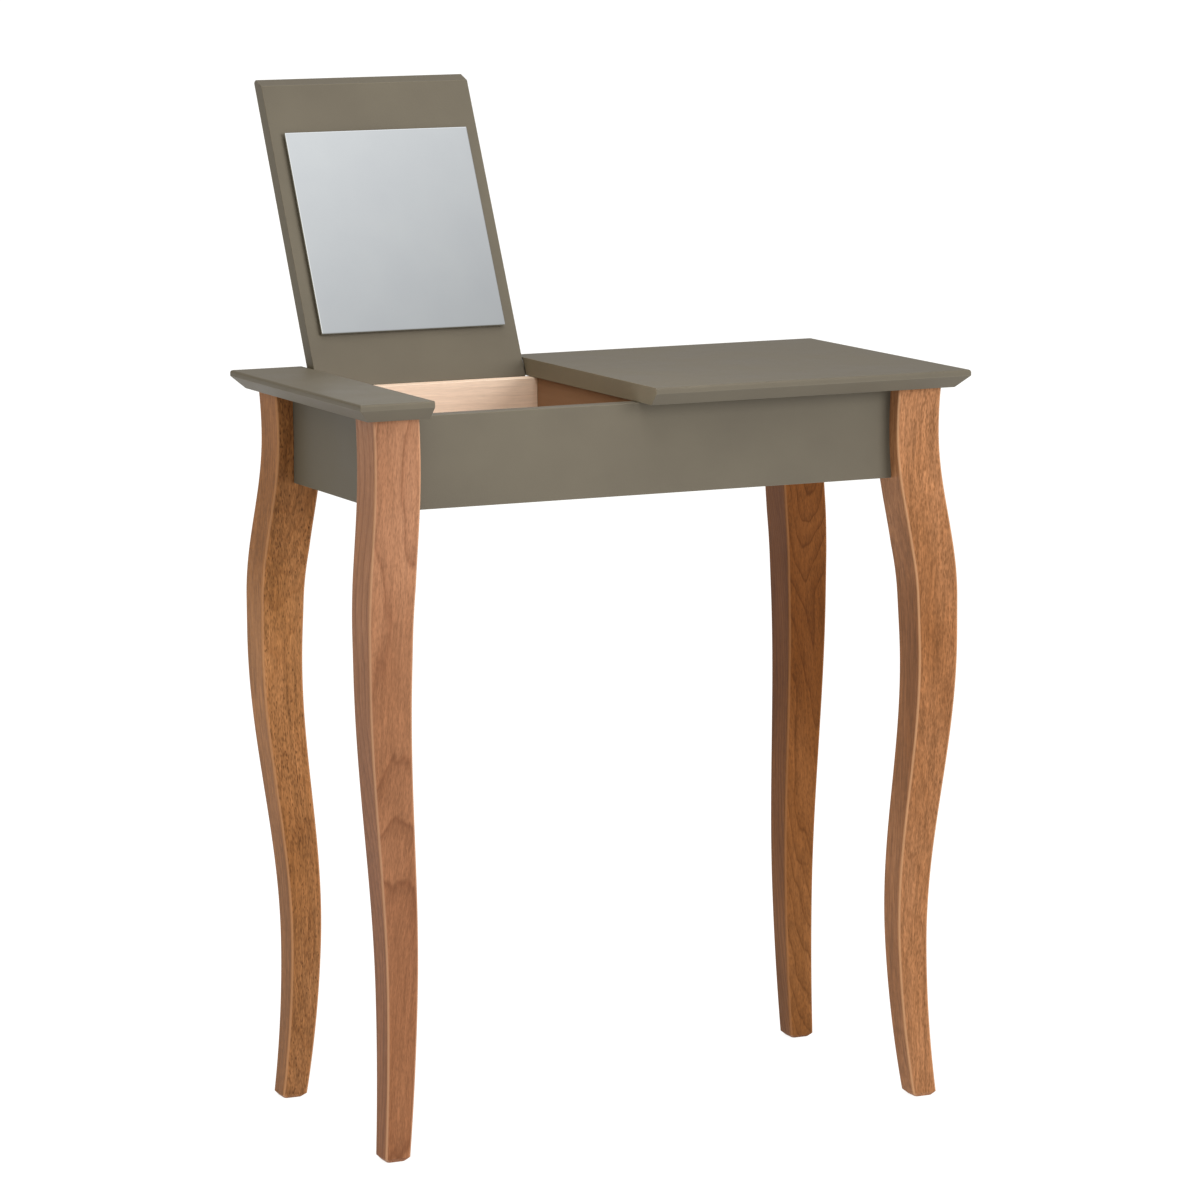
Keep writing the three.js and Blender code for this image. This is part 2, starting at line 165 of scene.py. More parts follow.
def painted_mdf(name, left_end):
    """MDF sprayed with satin lacquer: an even taupe grey, a faint orange peel that softens
    its sheen, and arrises a little lighter, partly where the film is thin and partly as a
    painted highlight. left_end is how many times lighter than its faces the board's left
    end is drawn, as painted light."""
    made, tree, shader = new_material(name, {"IOR": 1.47, "Specular IOR Level": 0.12})
    on_piece = add_node(tree, "ShaderNodeTexCoord").outputs
    place = on_piece["Object"]
    # The tone and the sheen wander over patches some 70 mm wide.
    cloud = add_node(
        tree, "ShaderNodeTexNoise", {"Vector": place, "Scale": 14.0, "Detail": 3.0}
    )
    # Orange peel is about 1 mm across; drawn at 2.5 mm so that it shows.
    peel = add_node(
        tree, "ShaderNodeTexNoise", {"Vector": place, "Scale": 400.0, "Detail": 2.0}
    )
    tone = add_node(
        tree,
        "ShaderNodeValToRGB",
        {"Fac": cloud.outputs["Fac"]},
        stops=[(0.3, PAINT_DARK), (0.7, PAINT_LIGHT)],
    )
    # Lighter arrises: partly thin film, partly a painted highlight.
    rub = add_node(tree, "ShaderNodeAttribute", attribute_name="rub")
    worn_and_highlit = add_node(
        tree,
        "ShaderNodeMix",
        {0: rub.outputs["Fac"], 6: tone.outputs["Color"], 7: linear(PAINT_RUBBED_AND_HIGHLIT)},
        data_type="RGBA",
    )
    facing = add_node(tree, "ShaderNodeSeparateXYZ", {"Vector": on_piece["Normal"]})
    # A face turned to the left is drawn left_end times lighter: painted light for a face the lamps
    # leave dark.
    painted_end_light = add_node(
        tree,
        "ShaderNodeMapRange",
        {
            "Value": facing.outputs["X"],
            "From Min": -0.8,
            "From Max": -0.98,
            "To Min": 1.0,
            "To Max": left_end,
        },
    )
    film = add_node(
        tree,
        "ShaderNodeMix",
        {0: 1.0, 6: worn_and_highlit.outputs[2], 7: painted_end_light.outputs["Result"]},
        data_type="RGBA",
        blend_type="MULTIPLY",
    )
    sheen = add_node(
        tree,
        "ShaderNodeMapRange",
        {
            "Value": cloud.outputs["Fac"],
            "From Min": 0.3,
            "From Max": 0.7,
            "To Min": 0.42,
            "To Max": 0.52,
        },
    )
    bump = add_node(
        tree,
        "ShaderNodeBump",
        {"Height": peel.outputs["Fac"], "Strength": 0.12, "Distance": 0.0004},
    )
    tree.links.new(film.outputs[2], shader.inputs["Base Color"])
    tree.links.new(sheen.outputs["Result"], shader.inputs["Roughness"])
    tree.links.new(bump.outputs["Normal"], shader.inputs["Normal"])
    return made


def sawn_beech(name, tones, stain, pith, turn, tilt, ring, marks, roughness):
    """Flat-sawn beech, sanded and oiled: growth rings met at a slant as arches, the ends
    of its rays as short dark dashes along the grain, and fine fibres between them.
    tones are the light wood, dark wood, late wood, ray and arris colours, the arris a
    painted highlight with a little wear; the height ramp paints light and shade, making
    the wood lighter or darker at heights in metres; and marks are the strengths of the
    rings, of the dashes, of the dark pits among them and of the fibres."""
    made, tree, shader = new_material(name, {"IOR": 1.5, "Specular IOR Level": 0.1})
    light, dark, late, ray, worn_and_highlit = (linear(tone) for tone in tones)
    rings, dashes, pits, grain = marks
    rays_run = Matrix.Rotation(turn, 3, "Z") @ Vector((1, 0, 0))
    on_piece = add_node(tree, "ShaderNodeTexCoord").outputs
    log = add_node(
        tree,
        "ShaderNodeMapping",
        {"Vector": on_piece["Object"], "Location": pith, "Rotation": (*tilt, turn)},
        vector_type="TEXTURE",
    ).outputs["Vector"]
    # What wanders in a trunk does so over four or five times its width along the grain.
    drawn_out = add_node(
        tree, "ShaderNodeVectorMath", {0: log, 1: (1, 1, 0.22)}, operation="MULTIPLY"
    ).outputs["Vector"]
    wander = add_node(
        tree, "ShaderNodeTexNoise", {"Vector": drawn_out, "Scale": 16.0, "Detail": 3.0}
    )
    centred = add_node(
        tree,
        "ShaderNodeVectorMath",
        {0: wander.outputs["Color"], 1: (0.5, 0.5, 0.5)},
        operation="SUBTRACT",
    )
    # The trunk grew up to 15 mm out of true.
    grown = add_node(
        tree,
        "ShaderNodeVectorMath",
        {0: centred.outputs["Vector"], 1: (0.03, 0.03, 0), 2: log},
        operation="MULTIPLY_ADD",
    ).outputs["Vector"]
    level = add_node(
        tree, "ShaderNodeVectorMath", {0: grown, 1: (1, 1, 0)}, operation="MULTIPLY"
    )
    radius = add_node(
        tree, "ShaderNodeVectorMath", {0: level.outputs["Vector"]}, operation="LENGTH"
    )
    years = add_node(
        tree, "ShaderNodeMath", {0: radius.outputs["Value"], 1: 1 / ring}, operation="MULTIPLY"
    )
    season = add_node(tree, "ShaderNodeMath", {0: years.outputs["Value"]}, operation="FRACT")
    late_wood = add_node(
        tree,
        "ShaderNodeValToRGB",
        {"Fac": season.outputs["Value"]},
        stops=[(0.0, 0.0), (0.5, 0.1), (0.82, 0.45), (0.92, 1.0), (1.0, 0.0)],
    )
    # How many of each pattern go in a metre out along the rays, across them and up the
    # grain.
    patterns = {
        "cloud": add_node(
            tree, "ShaderNodeTexNoise", {"Vector": drawn_out, "Scale": 22.0, "Detail": 4.0}
        ),
        "patches": add_node(
            tree, "ShaderNodeTexNoise", {"Vector": drawn_out, "Scale": 60.0, "Detail": 3.0}
        ),
    }
    for key, kind, source, per_metre, settings in (
        # Fibres and pores are 0.1 mm wide; drawn about 1 mm wide and 14 mm long.
        (
            "fibres",
            "ShaderNodeTexNoise",
            log,
            (1000, 1000, 70),
            {"Detail": 3.0, "Roughness": 0.6},
        ),
        # Streaks of darker wood are 3 to 6 mm wide and run on for 100 mm or more.
        ("streaks", "ShaderNodeTexNoise", grown, (300, 300, 9), {"Detail": 3.0}),
        # Rays are sheets 0.1 to 0.3 mm thick and 1 to 4 mm high that run out from the
        # pith. The small ones are drawn 1 mm apart, as a fine change of shade.
        ("small_rays", "ShaderNodeTexNoise", grown, (300, 900, 190), {"Detail": 1.0}),
        # The larger ones are drawn about 1 mm thick and 3 to 5 mm high, 1.5 mm apart.
        ("rays", "ShaderNodeTexVoronoi", grown, (90, 640, 170), {"Randomness": 1.0}),
        # Here and there one is thicker, and ends in a dark pit 2 to 3 mm high.
        ("thick_rays", "ShaderNodeTexVoronoi", grown, (60, 260, 120), {"Randomness": 1.0}),
    ):
        stretched = add_node(
            tree, "ShaderNodeVectorMath", {0: source, 1: per_metre}, operation="MULTIPLY"
        )
        patterns[key] = add_node(
            tree, kind, {"Vector": stretched.outputs["Vector"], "Scale": 1.0, **settings}
        )
    shades = {}
    for key, low, high, least, most in (
        ("cloud", 0.3, 0.7, 0.0, 1.0),
        ("streaks", 0.3, 0.7, 1 - grain, 1 + grain),
        ("fibres", 0.3, 0.7, 1 - grain, 1 + grain),
        ("small_rays", 0.38, 0.62, 1 - 0.24 * dashes, 1 + 0.22 * dashes),
        ("patches", 0.36, 0.58, 0.55 * dashes, dashes),
    ):
        shades[key] = add_node(
            tree,
            "ShaderNodeMapRange",
            {
                "Value": patterns[key].outputs["Fac"],
                "From Min": low,
                "From Max": high,
                "To Min": least,
                "To Max": most,
            },
        ).outputs["Result"]
    # Ray ends show on faces sawn square to the rays, and hardly on the others.
    facing = add_node(
        tree,
        "ShaderNodeVectorMath",
        {0: on_piece["Normal"], 1: rays_run},
        operation="DOT_PRODUCT",
    )
    squareness = add_node(
        tree, "ShaderNodeMath", {0: facing.outputs["Value"]}, operation="ABSOLUTE"
    )
    end_on = add_node(
        tree,
        "ShaderNodeMapRange",
        {
            "Value": squareness.outputs["Value"],
            "From Min": 0.4,
            "From Max": 0.85,
            "To Min": 0.2,
            "To Max": 1.0,
        },
    ).outputs["Result"]
    ray_ends = add_node(
        tree,
        "ShaderNodeValToRGB",
        {"Fac": patterns["rays"].outputs["Distance"]},
        stops=[(0.0, 1.0), (0.22, 1.0), (0.5, 0.0)],
    )
    pit_ends = add_node(
        tree,
        "ShaderNodeValToRGB",
        {"Fac": patterns["thick_rays"].outputs["Distance"]},
        stops=[(0.0, pits), (0.1, pits), (0.22, 0.0)],
    )
    rub = add_node(tree, "ShaderNodeAttribute", attribute_name="rub")
    ray_density, pit_marks, ringed, rubbed_and_highlit = (
        add_node(tree, "ShaderNodeMath", {0: one, 1: other}, operation="MULTIPLY").outputs["Value"]
        for one, other in (
            (shades["patches"], end_on),
            (pit_ends.outputs["Color"], end_on),
            (late_wood.outputs["Color"], rings),
            (rub.outputs["Fac"], 0.75),
        )
    )
    ray_marks = add_node(
        tree,
        "ShaderNodeMath",
        {0: ray_ends.outputs["Color"], 1: ray_density},
        operation="MULTIPLY",
    ).outputs["Value"]
    height = add_node(tree, "ShaderNodeSeparateXYZ", {"Vector": on_piece["Object"]})
    # Lighter and darker bands up the leg, where its curves turn up or down to the lamps: painted
    # light and shade.
    painted_height_light = add_node(tree, "ShaderNodeValToRGB", {"Fac": height.outputs["Z"]}, stops=stain)
    # The colours, laid one over another.
    wood = light
    for share, over, way in (
        (shades["cloud"], dark, "MIX"),
        (ringed, late, "MIX"),
        (1.0, painted_height_light.outputs["Color"], "MULTIPLY"),
        (1.0, shades["streaks"], "MULTIPLY"),
        (1.0, shades["fibres"], "MULTIPLY"),
        (end_on, shades["small_rays"], "MULTIPLY"),
        (ray_marks, ray, "MIX"),
        (pit_marks, ray, "MIX"),
        # Lighter on the eased arrises: a painted highlight, with a little wear.
        (rubbed_and_highlit, worn_and_highlit, "MIX"),
    ):
        wood = add_node(
            tree,
            "ShaderNodeMix",
            {0: share, 6: wood, 7: over},
            data_type="RGBA",
            blend_type=way,
        ).outputs[2]
    gloss = add_node(
        tree,
        "ShaderNodeMapRange",
        {
            "Value": patterns["fibres"].outputs["Fac"],
            "To Min": roughness + 0.1,
            "To Max": roughness - 0.06,
        },
    )
    relief = add_node(
        tree,
        "ShaderNodeMath",
        {0: ray_marks, 1: -0.6, 2: patterns["fibres"].outputs["Fac"]},
        operation="MULTIPLY_ADD",
    )
    bump = add_node(
        tree,
        "ShaderNodeBump",
        {"Height": relief.outputs["Value"], "Strength": 0.35, "Distance": 0.0002},
    )
    tree.links.new(wood, shader.inputs["Base Color"])
    tree.links.new(gloss.outputs["Result"], shader.inputs["Roughness"])
    tree.links.new(bump.outputs["Normal"], shader.inputs["Normal"])
    return made


def beech_plywood(name, thickness_axis, faces):
    """Sanded beech plywood: faces with a soft grain, and edges that show its plies."""
    made, tree, shader = new_material(name, {"IOR": 1.5, "Specular IOR Level": 0.15})
    on_piece = add_node(tree, "ShaderNodeTexCoord").outputs
    place = on_piece["Object"]
    # The grain runs from front to back: a broad figure 30 mm wide, and fibres drawn
    # about 1 mm wide, since real ones are too fine to show.
    drawn_out = add_node(
        tree, "ShaderNodeVectorMath", {0: place, 1: (30, 3, 30)}, operation="MULTIPLY"
    )
    figure = add_node(
        tree,
        "ShaderNodeTexNoise",
        {"Vector": drawn_out.outputs["Vector"], "Scale": 1.0, "Detail": 5.0, "Distortion": 0.6},
    )
    fine = add_node(
        tree,
        "ShaderNodeVectorMath",
        {0: place, 1: (900, 40, 900)},
        operation="MULTIPLY",
    )
    fibres = add_node(
        tree,
        "ShaderNodeTexNoise",
        {"Vector": fine.outputs["Vector"], "Scale": 1.0, "Detail": 2.0},
    )
    face = add_node(
        tree,
        "ShaderNodeValToRGB",
        {"Fac": figure.outputs["Fac"]},
        stops=list(zip((0.3, 0.5, 0.7), faces)),
    )
    # Plies are 1.5 mm thick, so light and dark ones repeat every 3 mm.
    parts = add_node(tree, "ShaderNodeSeparateXYZ", {"Vector": place})
    plies = add_node(
        tree,
        "ShaderNodeMath",
        {0: parts.outputs[thickness_axis], 1: 1 / (3 * MM)},
        operation="MULTIPLY",
    )
    ply = add_node(tree, "ShaderNodeMath", {0: plies.outputs["Value"]}, operation="FRACT")
    edge = add_node(
        tree,
        "ShaderNodeValToRGB",
        {"Fac": ply.outputs["Value"]},
        stops=[
            (0.0, "#7A5537"),
            (0.06, "#CDA882"),
            (0.5, "#CDA882"),
            (0.56, "#7A5537"),
            (0.62, "#A67C55"),
            (1.0, "#A67C55"),
        ],
    )
    facing = add_node(tree, "ShaderNodeSeparateXYZ", {"Vector": on_piece["Normal"]})
    flat = add_node(
        tree, "ShaderNodeMath", {0: facing.outputs[thickness_axis]}, operation="ABSOLUTE"
    )
    is_face = add_node(
        tree,
        "ShaderNodeMapRange",
        {"Value": flat.outputs["Value"], "From Min": 0.6, "From Max": 0.75},
    )
    both = add_node(
        tree,
        "ShaderNodeMix",
        {0: is_face.outputs["Result"], 6: edge.outputs["Color"], 7: face.outputs["Color"]},
        data_type="RGBA",
    )
    bump = add_node(
        tree,
        "ShaderNodeBump",
        {"Height": fibres.outputs["Fac"], "Strength": 0.3, "Distance": 0.0002},
    )
    gloss = add_node(
        tree,
        "ShaderNodeMapRange",
        {"Value": fibres.outputs["Fac"], "To Min": 0.72, "To Max": 0.58},
    )
    tree.links.new(both.outputs[2], shader.inputs["Base Color"])
    tree.links.new(gloss.outputs["Result"], shader.inputs["Roughness"])
    tree.links.new(bump.outputs["Normal"], shader.inputs["Normal"])
    return made


def plain_surface(name, colours, roughness, grain, bump_depth, surface):
    """A homogeneous stuff, such as a metal or a moulded plastic, whose tone and gloss
    wander a little over patches `grain` metres wide."""
    made, tree, shader = new_material(name, surface)
    place = add_node(tree, "ShaderNodeTexCoord").outputs["Object"]
    patch = add_node(
        tree, "ShaderNodeTexNoise", {"Vector": place, "Scale": 1 / grain, "Detail": 4.0}
    )
    tone = add_node(
        tree,
        "ShaderNodeValToRGB",
        {"Fac": patch.outputs["Fac"]},
        stops=[(0.3, colours[0]), (0.7, colours[1])],
    )
    gloss = add_node(
        tree,
        "ShaderNodeMapRange",
        {
            "Value": patch.outputs["Fac"],
            "From Min": 0.3,
            "From Max": 0.7,
            "To Min": roughness[0],
            "To Max": roughness[1],
        },
    )
    bump = add_node(
        tree,
        "ShaderNodeBump",
        {"Height": patch.outputs["Fac"], "Strength": 0.2, "Distance": bump_depth},
    )
    tree.links.new(tone.outputs["Color"], shader.inputs["Base Color"])
    tree.links.new(gloss.outputs["Result"], shader.inputs["Roughness"])
    tree.links.new(bump.outputs["Normal"], shader.inputs["Normal"])
    return made


paint = painted_mdf("satin_lacquered_mdf", 1.0)
# The right panel's sawn end faces away from the lamps and is drawn lighter to make up.
sawn_end_paint = painted_mdf("satin_lacquered_mdf_sawn_end", 1.7)
# Silvered float glass: a clear, faintly blue reflection with a breath of dust on it.
silvering = plain_surface(
    "silvered_float_glass", ("#E2E6E8", "#DEE2E5"), (0.01, 0.03), 60 * MM, 0, {"Metallic": 1.0}
)
# The ground edge of the same pane: milky, with a painted glow that stands in for the light the
# pane carries to its edge.
glass_edge_painted_glow = plain_surface(
    "ground_glass_edge",
    ("#DDE6E4", "#EEF3F2"),
    (0.3, 0.45),
    8 * MM,
    0.00002,
    {"IOR": 1.52, "Emission Color": linear("#E9F1F0"), "Emission Strength": 0.8},
)
# Zinc plate on turned steel: bright, with a fine grey mottle.
zinc = plain_surface(
    "zinc_plated_steel",
    ("#B4B6B8", "#CFD0D0"),
    (0.28, 0.42),
    1.5 * MM,
    0.00002,
    {"Metallic": 1.0},
)
# Natural nylon, moulded: milky and waxy.
nylon = plain_surface(
    "moulded_nylon", ("#E6E2D6", "#EFECE2"), (0.4, 0.5), 3 * MM, 0.00002, {"IOR": 1.53}
)
# White foam tape: dull, with an open cell that roughens it.
foam = plain_surface(
    "foam_mounting_tape", ("#E8E6DF", "#F4F2EC"), (0.85, 0.95), 1 * MM, 0.0001, {"IOR": 1.45}
)
# The compartment's upright walls are drawn a darker brown than the floor, as painted shade; its
# floor is left pale.
wall_ply_painted_shade = beech_plywood(
    "stained_beech_plywood_upright", "X", ("#94745C", "#8A6A52", "#7C5C44")
)
floor_ply = beech_plywood(
    "sanded_beech_plywood_flat", "Z", ("#A58D78", "#9C826C", "#90745E")
)
# Beech under a clear finish: pale, with its rings and ray ends barely marked. The grain
# runs from side to side, or from front to back in the cleats.
pale_beech, cleat_beech = (
    sawn_beech(
        "clear_finished_beech_" + way,
        ("#E4CDB9", "#DEC4AF", "#CFB29B", "#BFA28D", "#E8D3C1"),
        [(0.0, 1.0), (1.0, 1.0)],
        pith=(0.0, -0.2, 0.55),
        turn=math.radians(turn),
        tilt=(0.0, math.radians(90)),
        ring=5 * MM,
        marks=(0.3, 0.1, 0.0, 0.06),
        roughness=0.6,
    )
    for way, turn in (("lengthwise", 0), ("crosswise", 90))
)

# ---------------------------------------------------------------- modelling


def block(low, high):
    bm = bmesh.new()
    bmesh.ops.create_cube(bm, size=1)
    bmesh.ops.scale(bm, vec=high - low, verts=bm.verts)
    bmesh.ops.translate(bm, vec=(low + high) / 2, verts=bm.verts)
    return bm


def round_edges(bm, edges, width, segments, rub=None):
    """Rounds edges, and marks the middle of each rounding in a vertex layer, which the materials
    draw lighter as wear and as a painted highlight.
    """
    made = bmesh.ops.bevel(
        bm,
        geom=edges,
        offset=width,
        offset_type="OFFSET",
        segments=segments,
        profile=0.5,
        affect="EDGES",
        clamp_overlap=True,
        material=-1,
    )
    if rub is not None:
        fresh = set(made["faces"])
        for v in made["verts"]:
            if all(face in fresh for face in v.link_faces):
                v[rub] = 1
    return made


def sharp_edges(bm, least=math.radians(30)):
    return [e for e in bm.edges if len(e.link_faces) == 2 and e.calc_face_angle() > least]


def turned(profile, start, axis, steps=48):
    """Spins a profile of (radius, distance along the axis) about an axis from start."""
    bm = bmesh.new()
    verts = [bm.verts.new((radius, 0, along)) for radius, along in profile]
    edges = [bm.edges.new(pair) for pair in zip(verts, verts[1:])]
    bmesh.ops.spin(
        bm,
        geom=verts + edges,
        cent=(0, 0, 0),
        axis=(0, 0, 1),
        angle=2 * math.pi,
        steps=steps,
        use_merge=True,
    )
    bmesh.ops.remove_doubles(bm, verts=bm.verts, dist=1e-7)
    bmesh.ops.recalc_face_normals(bm, faces=bm.faces)
    turn = Vector((0, 0, 1)).rotation_difference(axis).to_matrix()
    bmesh.ops.rotate(bm, cent=(0, 0, 0), matrix=turn, verts=bm.verts)
    bmesh.ops.translate(bm, vec=start, verts=bm.verts)
    return bm


def rod_over(node, clearance, steps=24):
    """A rod along a round node's length, larger than it by a clearance all round."""
    low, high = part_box(node)
    size = high - low
    long_way = max(range(3), key=lambda i: size[i])
    axis = Vector(float(i == long_way) for i in range(3))
    radius = size[(long_way + 1) % 3] / 2 + clearance
    start = (low + high) / 2 - axis * (size[long_way] / 2 + clearance)
    length = size[long_way] + 2 * clearance
    return turned([(0, 0), (radius, 0), (radius, length), (0, length)], start, axis, steps)


def screw_profile(length, clearance):
    cone = SCREW_HEAD_RADIUS - SCREW_SHANK_RADIUS
    return [
        (0, -clearance),
        (SCREW_HEAD_RADIUS + clearance, -clearance),
        (SCREW_HEAD_RADIUS + clearance, SCREW_RIM + clearance / 2),
        (SCREW_SHANK_RADIUS + clearance, SCREW_RIM + cone + clearance / 2),
        (SCREW_SHANK_RADIUS + clearance, length - 2 * SCREW_SHANK_RADIUS),
        (0, length + clearance),
    ]


def screw_axis(node):
    low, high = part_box(node)
    return Vector(((low.x + high.x) / 2, (low.y + high.y) / 2, low.z)), high.z - low.z


def as_object(name, bm):
    mesh = bpy.data.meshes.new(name)
    bm.to_mesh(mesh)
    bm.free()
    made = bpy.data.objects.new(name, mesh)
    bpy.context.scene.collection.objects.link(made)
    return made


def cut_out(piece, cutters):
    """Takes the cutters' shapes out of a piece."""
    for bm in cutters:
        tool = as_object("cutter", bm)
        cut = piece.modifiers.new("cut", "BOOLEAN")
        cut.operation = "DIFFERENCE"
        cut.solver = "EXACT"
        cut.object = tool
        solid = bpy.data.meshes.new_from_object(
            piece.evaluated_get(bpy.context.evaluated_depsgraph_get())
        )
        piece.modifiers.clear()
        piece.data = solid
        bpy.data.objects.remove(tool)


def finish_piece(name, bm, body, materials, nodes, cutters=()):
    """Makes a piece of a bmesh: cut, shaded round its rounded edges only, and placed on
    its body in the stead of its CAD nodes."""
    piece = as_object(name, bm)
    cut_out(piece, cutters)
    piece.data.materials.clear()
    for one in materials:
        piece.data.materials.append(one)
    smooth = bmesh.new()
    smooth.from_mesh(piece.data)
    for face in smooth.faces:
        face.smooth = True
    for edge in smooth.edges:
        edge.smooth = len(edge.link_faces) == 2 and edge.calc_face_angle() < SMOOTH_UP_TO
    smooth.to_mesh(piece.data)
    smooth.free()
    piece.data.name = name
    weigh = piece.modifiers.new("face_weight", "WEIGHTED_NORMAL")
    weigh.keep_sharp = True
    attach(piece, body)
    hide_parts(*nodes)
    return piece


# ---------------------------------------------------------------- legs


def eased(start, end, share):
    return start + (end - start) * (1 - math.cos(math.pi * share)) / 2


def outer_inset(height):
    """From the edge of the top in to the leg: flared foot, ankle, knee and shoulder."""
    rise = height / leg_length
    if rise < ANKLE_RISE:
        return ANKLE_INSET - (ANKLE_INSET - FOOT_INSET) * (1 - rise / ANKLE_RISE) ** 2
    if rise < KNEE_RISE:
        return eased(ANKLE_INSET, KNEE_INSET, (rise - ANKLE_RISE) / (KNEE_RISE - ANKLE_RISE))
    if rise < KNEE_TOP_RISE:
        return KNEE_INSET
    if rise < SHOULDER_RISE:
        share = (rise - KNEE_TOP_RISE) / (SHOULDER_RISE - KNEE_TOP_RISE)
        return eased(KNEE_INSET, SHOULDER_INSET, share)
    return SHOULDER_INSET - TOP_FLARE * ((rise - SHOULDER_RISE) / (1 - SHOULDER_RISE)) ** 2


def leg_width(height):
    return LEG_FOOT_WIDTH + (LEG_TOP_WIDTH - LEG_FOOT_WIDTH) * min(
        1, height / leg_length / TAPER_RISE
    )


def leg(corner, inward):
    """A square section drawn up the leg's curve from a chamfered foot, its arrises eased."""
    bm = bmesh.new()
    rub = bm.verts.layers.float.new("rub")
    ring = bmesh.ops.create_circle(bm, cap_ends=False, segments=4, radius=math.sqrt(0.5))
    verts = ring["verts"]
    edges = list(bm.edges)
    bmesh.ops.rotate(
        bm, cent=(0, 0, 0), matrix=Matrix.Rotation(math.radians(45), 3, "Z"), verts=verts
    )
    heights = [0] + [
        FOOT_CHAMFER + (leg_length - FOOT_CHAMFER) * i / LEG_STATIONS
        for i in range(LEG_STATIONS + 1)
    ]
    old_place, old_width = Vector((0, 0, 0)), 1
    for height in heights:
        if height > 0:
            grown = bmesh.ops.extrude_edge_only(bm, edges=edges)["geom"]
            verts = [g for g in grown if isinstance(g, bmesh.types.BMVert)]
            edges = [
                g
                for g in grown
                if isinstance(g, bmesh.types.BMEdge) and set(g.verts) <= set(verts)
            ]
        width = leg_width(height) - (2 * FOOT_CHAMFER if height == 0 else 0)
        inset = outer_inset(height) + leg_width(height) / 2
        place = Vector((corner[0] + inward[0] * inset, corner[1] + inward[1] * inset, height))
        bmesh.ops.translate(bm, vec=-old_place, verts=verts)
        bmesh.ops.scale(bm, vec=(width / old_width, width / old_width, 1), verts=verts)
        bmesh.ops.translate(bm, vec=place, verts=verts)
        old_place, old_width = place, width
    bmesh.ops.holes_fill(bm, edges=bm.edges, sides=4)
    bmesh.ops.recalc_face_normals(bm, faces=bm.faces)
    arrises = [e for e in bm.edges if abs(e.verts[0].co.z - e.verts[1].co.z) > TOUCHING]
    round_edges(bm, arrises, LEG_ARRIS, 3, rub)
    rim = [
        e
        for e in sharp_edges(bm)
        if abs(e.verts[0].co.z - e.verts[1].co.z) < TOUCHING
        and e.verts[0].co.z < 2 * FOOT_CHAMFER
    ]
    round_edges(bm, rim, FOOT_RIM_ROUND, 2)
    return bm


# Which corner each leg stands at, and where its wood lay in its log: the pith, in mm from
# the leg's middle, and the turn and tilt of the grain in degrees. ring is one year's
# growth in mm. marks and tones are as sawn_beech takes them, and so is the ramp of
# painted light and shade by height.
legs = {
    "front_left": {
        "sides": (-1, -1),
        "pith": (10, 60),
        "turn": 80,
        "tilt": (5, 2),
        "ring": 9,
        "marks": (0.7, 0.3, 0.1, 0.14),
        "tones": ("#A4775A", "#92664A", "#795039", "#5E3E2B", "#B68B6C"),
        "stain": [(0.08, "#D9CBBB"), (0.25, "#DCCFC2"), (0.45, "#EBE4DA"), (0.62, "#FFFFFF")],
    },
    "front_right": {
        "sides": (1, -1),
        "pith": (-15, 90),
        "turn": 95,
        "tilt": (1.5, 1),
        "ring": 4,
        "marks": (0.35, 0.5, 0.1, 0.22),
        "tones": ("#A37452", "#8F613E", "#7A4F30", "#58371D", "#BC8F6B"),
        "stain": [(0.1, "#F4F2EE"), (0.3, "#EDE8DF"), (0.48, "#E3DACB"), (0.62, "#FFFFFF")],
    },
    "back_right": {
        "sides": (1, 1),
        "pith": (20, -70),
        "turn": 70,
        "tilt": (-4, 3),
        "ring": 5,
        "marks": (0.7, 0.35, 0.1, 0.12),
        "tones": ("#845630", "#6A401B", "#563214", "#3D220E", "#92643F"),
        "stain": [(0.1, "#FFFFFF"), (0.25, "#F6F0E8"), (0.4, "#E2D5C0"), (0.6, "#DCCDB4")],
    },
    "back_left": {
        "sides": (-1, 1),
        "pith": (-10, -100),
        "turn": 90,
        "tilt": (-1.5, 1),
        "ring": 4.5,
        "marks": (0.4, 0.5, 0.6, 0.22),
        "tones": ("#A6764D", "#8F6138", "#7A4D29", "#3A2010", "#B2825C"),
        "stain": [(0.1, "#DDD8D4"), (0.3, "#E6DFD6"), (0.5, "#FFFFFF"), (0.65, "#E6DCCC")],
    },
}

for corner_name, wood in legs.items():
    side_x, side_y = wood["sides"]
    corner = (
        top_low.x if side_x < 0 else top_high.x,
        top_low.y if side_y < 0 else top_high.y,
    )
    middle_inset = SHOULDER_INSET + LEG_TOP_WIDTH / 2
    pith = (
        corner[0] - side_x * middle_inset + wood["pith"][0] * MM,
        corner[1] - side_y * middle_inset + wood["pith"][1] * MM,
        PITH_HEIGHT,
    )
    beech = sawn_beech(
        "stained_oiled_beech_" + corner_name,
        wood["tones"],
        wood["stain"],
        pith=pith,
        turn=math.radians(wood["turn"]),
        tilt=[math.radians(angle) for angle in wood["tilt"]],
        ring=wood["ring"] * MM,
        marks=wood["marks"],
        roughness=0.5,
    )
    end_x = "left" if side_x < 0 else "right"
    end_y = "front" if side_y < 0 else "back"
    play = Vector((GAP, GAP, GAP))
    housings = []
    for rail in ("apron_" + end_x, "apron_" + end_y):
        low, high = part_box(rail)
        housings.append(block(low - play, high + play))
    bores = [
        rod_over(f"dowel_{rail}_{end}_{level}", GAP)
        for rail, end in ((end_y, end_x), (end_x, end_y))
        for level in ("lower", "upper")
    ]
    finish_piece(
        "shaped_leg_" + corner_name,
        leg(corner, (-side_x, -side_y)),
        "table",
        [beech],
        ["leg_" + corner_name],
        housings + bores,
    )

# ---------------------------------------------------------------- boards


